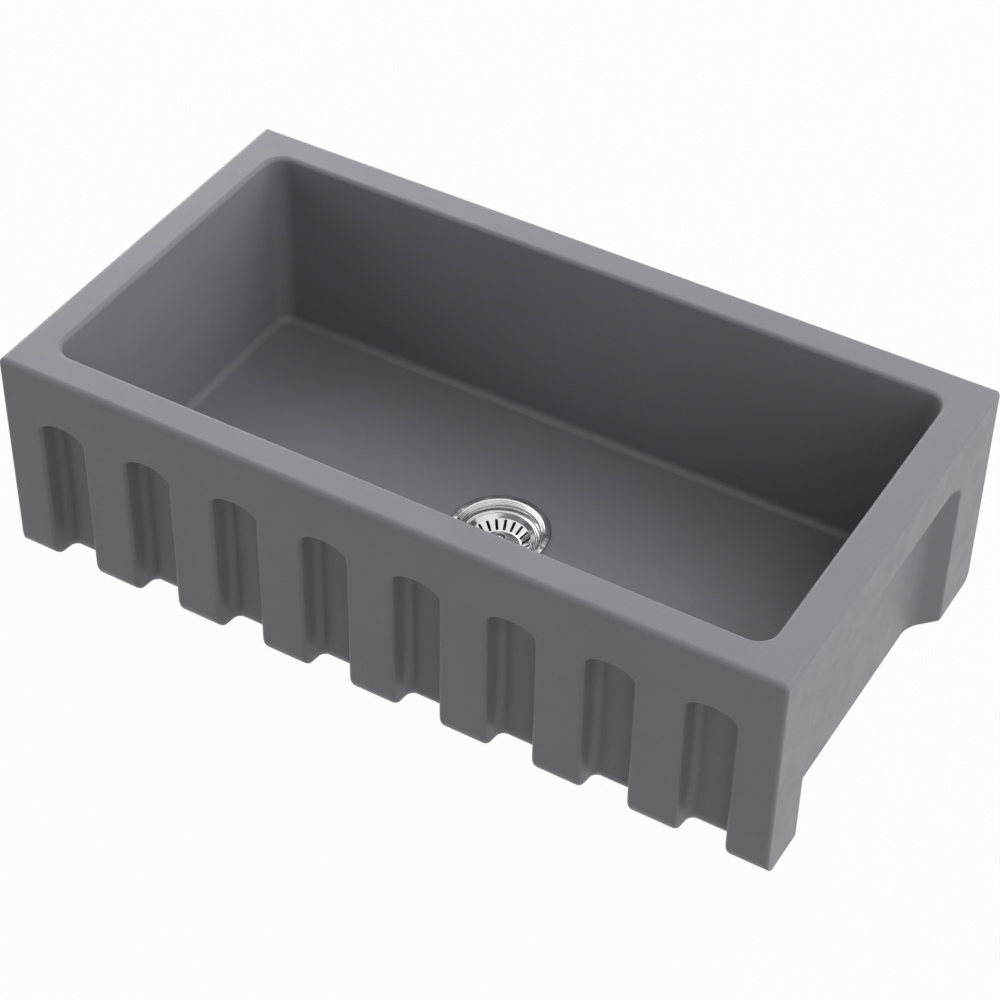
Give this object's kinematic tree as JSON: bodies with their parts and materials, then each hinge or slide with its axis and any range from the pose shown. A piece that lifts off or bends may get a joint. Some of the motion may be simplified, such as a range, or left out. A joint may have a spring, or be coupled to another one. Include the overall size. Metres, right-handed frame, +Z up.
{
  "type": "farmhouse apron front sink",
  "caption": "Single bowl fireclay sink with a fluted apron front, recessed side walls and a lift-out basket strainer with a draw-up stopper over its outlet.",
  "frame": {"origin": "centre of the sink's flat base, on the base plane", "axes": "+X along the apron to the right seen from the front, +Y from the apron to the back, +Z up out of the bowl"},
  "size_m": [0.8382, 0.4572, 0.4004],
  "materials": {
    "fireclay": "satin glaze, mid grey",
    "polished_steel": "polished stainless steel",
    "plated_steel": "plain drawn steel",
    "brass": "plain machined brass",
    "rubber": "moulded rubber",
    "fibre": "pressed fibre",
    "nylon": "natural nylon"
  },
  "bodies": {
    "sink": {"basin": "fireclay", "flange_gasket": "rubber", "strainer_cup": "polished_steel", "outlet_spud": "brass", "outlet_cross": "polished_steel", "clamp_gasket": "rubber", "clamp_shell": "plated_steel", "fibre_washer": "fibre", "locknut": "brass", "tailpiece_washer": "nylon", "tailpiece": "plated_steel", "coupling_nut": "brass"},
    "bush": {"basket_bush": "nylon", "post_ring": "rubber"},
    "basket": {"basket_shell": "polished_steel"},
    "stopper": {"post": "polished_steel", "knob": "polished_steel", "stopper_seal": "rubber", "stopper_plate": "polished_steel", "stopper_nut": "brass"}
  },
  "joints": [
    {"name": "basket_lift", "type": "slide", "parent": "sink", "child": "bush", "axis": [0, 0, 1], "range_m": [0, 0.265]},
    {"name": "basket_turn", "type": "hinge", "parent": "bush", "child": "basket", "pos_m": [0, 0.012, 0.014], "axis": [0, 0, 1], "continuous": true},
    {"name": "stopper_draw", "type": "slide", "parent": "bush", "child": "stopper", "axis": [0, 0, 1], "range_m": [0, 0.0065]}
  ]
}
